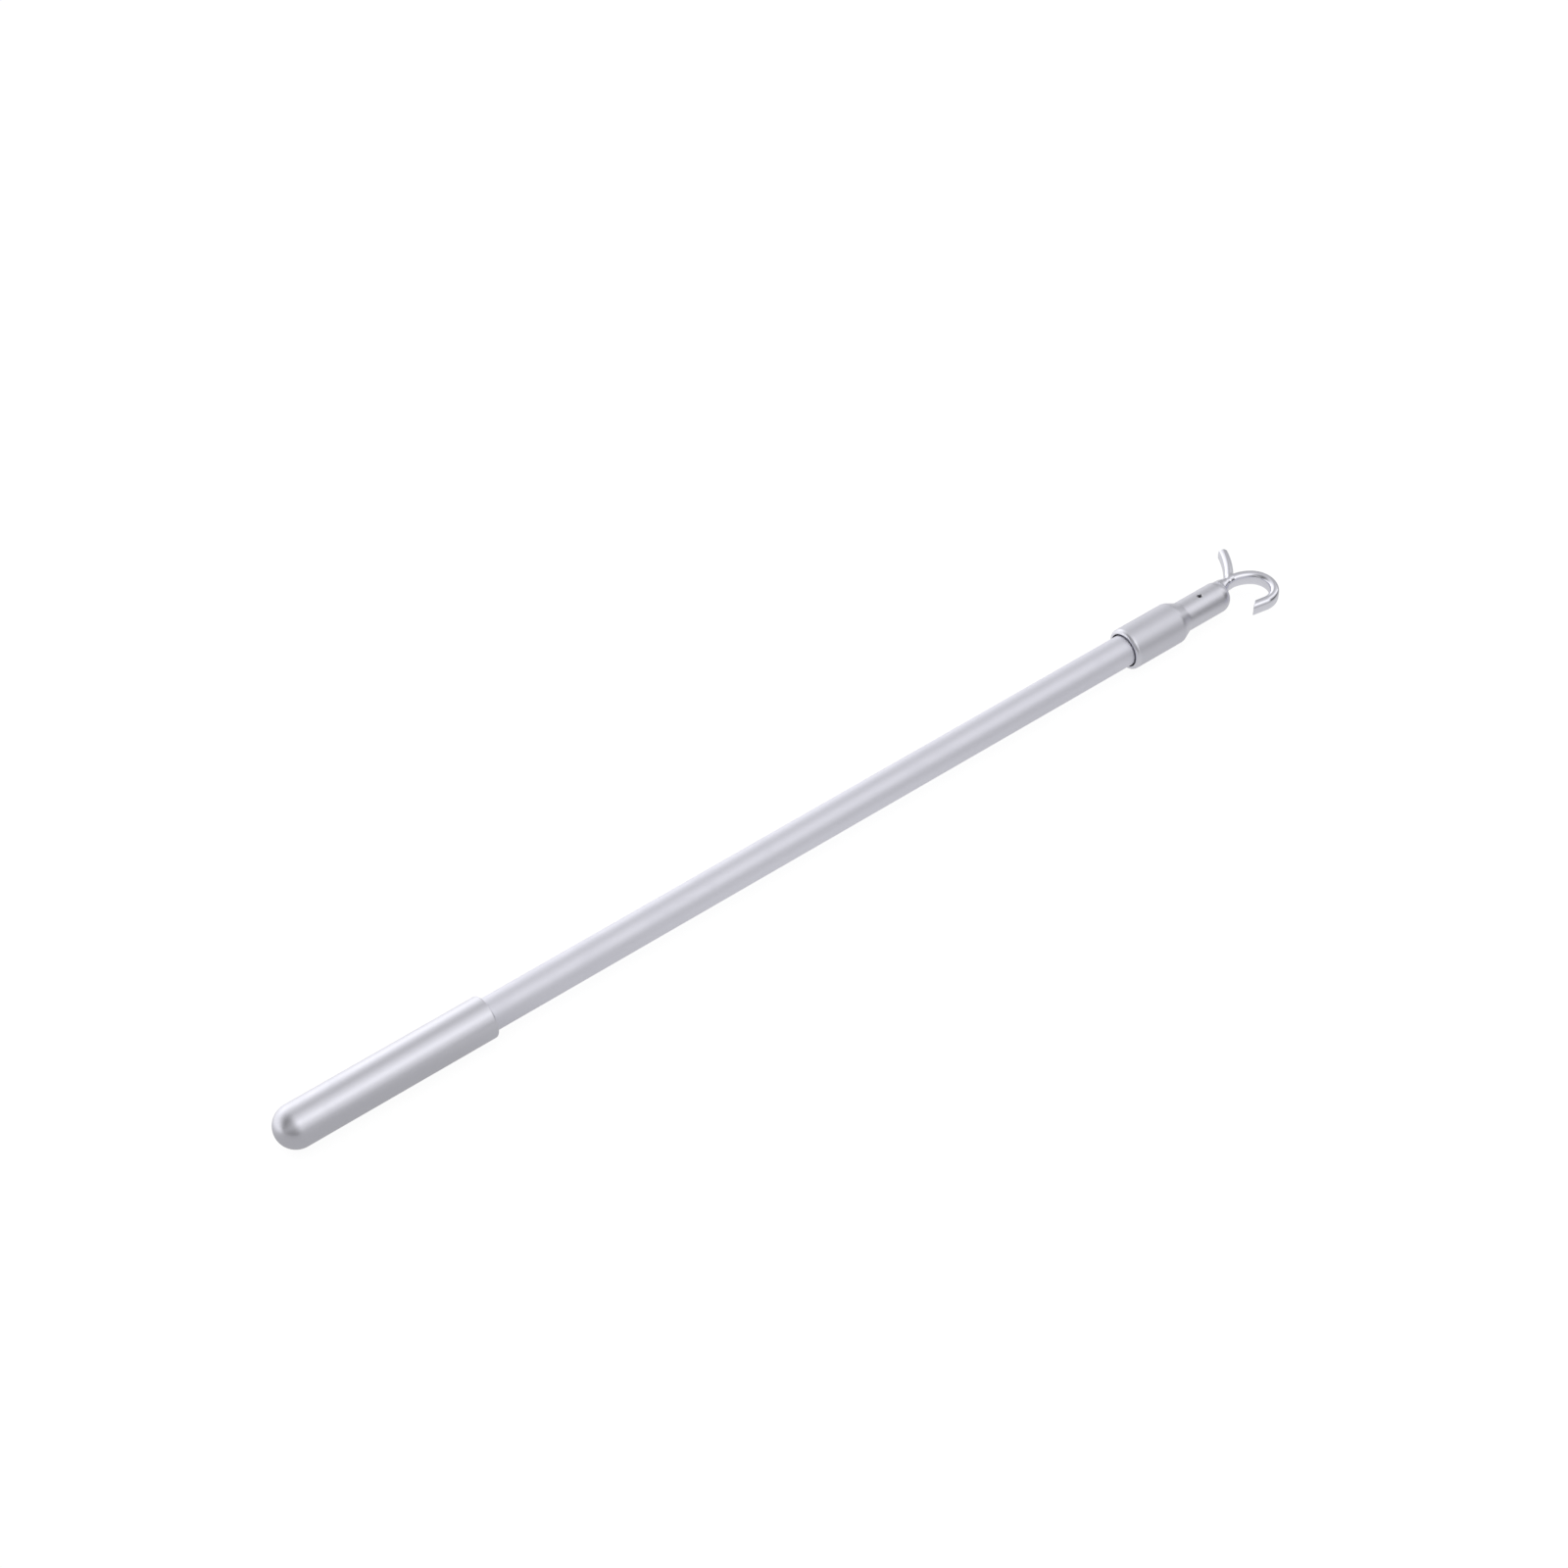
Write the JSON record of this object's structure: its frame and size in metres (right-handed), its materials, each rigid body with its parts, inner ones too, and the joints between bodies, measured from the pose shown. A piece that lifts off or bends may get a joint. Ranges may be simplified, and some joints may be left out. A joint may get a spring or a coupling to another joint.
{
  "type": "hook pole",
  "caption": "Straight tubular reach pole with a closed round grip and a swivelling collar head that ends in a round hook and a pushing prong.",
  "frame": {"origin": "on the pole's axis, at the middle of the straight part of the grip", "axes": "+X along the pole from the grip towards the hook, +Z square to the plane of the hook with the cross pin pointing up, hook towards -Y and prong towards +Y"},
  "size_m": [0.5882, 0.0444, 0.0216],
  "materials": {
    "anodised_tube": "satin anodised",
    "satin_grip": "fine satin",
    "satin_head": "fine satin",
    "hook_metal": "satin chrome",
    "steel_hardware": "zinc plated",
    "brass_plug": "turned",
    "white_acetal": "moulded",
    "black_liner": "moulded",
    "nylon_insert": "moulded",
    "black_rubber": "moulded"
  },
  "bodies": {
    "pole": {"grip_sleeve": "satin_grip", "grip_o_rings": "black_rubber", "grip_stud": "steel_hardware", "rear_plug": "brass_plug", "rear_plug_dowels": "steel_hardware", "pole_tube": "anodised_tube", "swivel_plug": "brass_plug", "swivel_plug_dowels": "steel_hardware", "front_thrust_washer": "white_acetal"},
    "head": {"head_ferrule": "satin_head", "collar_liner": "black_liner", "spindle": "steel_hardware", "rear_thrust_washer": "white_acetal", "flat_washer": "steel_hardware", "disc_spring": "steel_hardware", "lock_nut": "steel_hardware", "nut_insert": "nylon_insert", "hook": "hook_metal", "hook_pin": "steel_hardware"}
  },
  "joints": [
    {"name": "head_swivel", "type": "hinge", "parent": "pole", "child": "head", "pos_m": [0.464, 0, 0], "axis": [1, 0, 0], "continuous": true}
  ]
}
